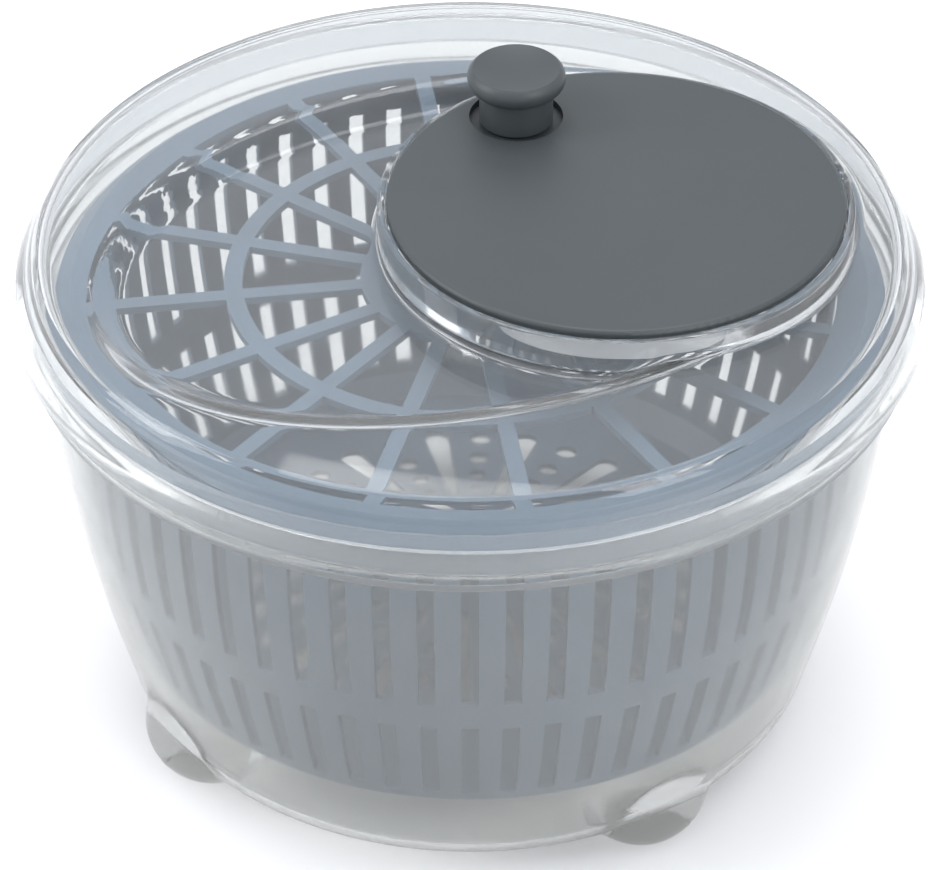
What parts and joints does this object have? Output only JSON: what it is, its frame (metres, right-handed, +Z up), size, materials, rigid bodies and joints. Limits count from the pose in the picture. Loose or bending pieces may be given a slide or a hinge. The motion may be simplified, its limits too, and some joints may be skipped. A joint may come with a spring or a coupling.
{
  "type": "salad spinner",
  "caption": "Round bowl with a slotted basket inside, a spoked basket cover and a clear lid whose off-centre crank disc spins the basket through an internal gear.",
  "frame": {"origin": "centre of the ring of feet, on the surface that they stand on", "axes": "+Z up along the basket's axis; +X towards the crank disc's axis"},
  "size_m": [0.25, 0.25, 0.1756],
  "materials": {
    "frosted_clear": "frosted translucent polypropylene",
    "clear": "clear glossy styrene plastic",
    "blue_grey": "satin moulded polypropylene",
    "dark_grey": "fine satin moulded",
    "natural_white": "natural acetal",
    "steel": "bright zinc plated"
  },
  "bodies": {
    "bowl": {"outer_bowl": "frosted_clear", "pivot_pin": "steel"},
    "basket": {"basket": "blue_grey", "pivot_bush": "natural_white", "basket_cover": "blue_grey", "cover_collar": "blue_grey"},
    "lid": {"lid": "clear", "hub_bush": "natural_white", "shaft_bush": "natural_white", "thrust_washer": "natural_white"},
    "crank": {"crank_disc": "dark_grey", "hub_washer": "steel", "hub_screw": "steel", "ring_gear": "natural_white", "ring_gear_screws": "steel", "knob_spindle": "steel"},
    "knob": {"knob": "dark_grey"},
    "drive": {"pinion": "natural_white", "drive_shaft": "steel", "drive_dog": "natural_white", "dog_screw": "steel"}
  },
  "joints": [
    {"name": "lid_lift", "type": "slide", "parent": "bowl", "child": "lid", "axis": [0, 0, 1], "range_m": [0, 0.15]},
    {"name": "basket_spin", "type": "hinge", "parent": "bowl", "child": "basket", "pos_m": [0, 0, 0.03], "axis": [0, 0, 1], "continuous": true},
    {"name": "crank_spin", "type": "hinge", "parent": "lid", "child": "crank", "pos_m": [0.03938, 0, 0.15], "axis": [0, 0, 1], "continuous": true},
    {"name": "drive_spin", "type": "hinge", "parent": "lid", "child": "drive", "pos_m": [0, 0, 0.145], "axis": [0, 0, 1], "continuous": true},
    {"name": "knob_spin", "type": "hinge", "parent": "crank", "child": "knob", "pos_m": [0.01276, 0.03946, 0.165], "axis": [0, 0, 1], "continuous": true}
  ],
  "couplings": [
    {"joint": "basket_spin", "follows": "crank_spin", "ratio": 4},
    {"joint": "drive_spin", "follows": "crank_spin", "ratio": 4}
  ]
}
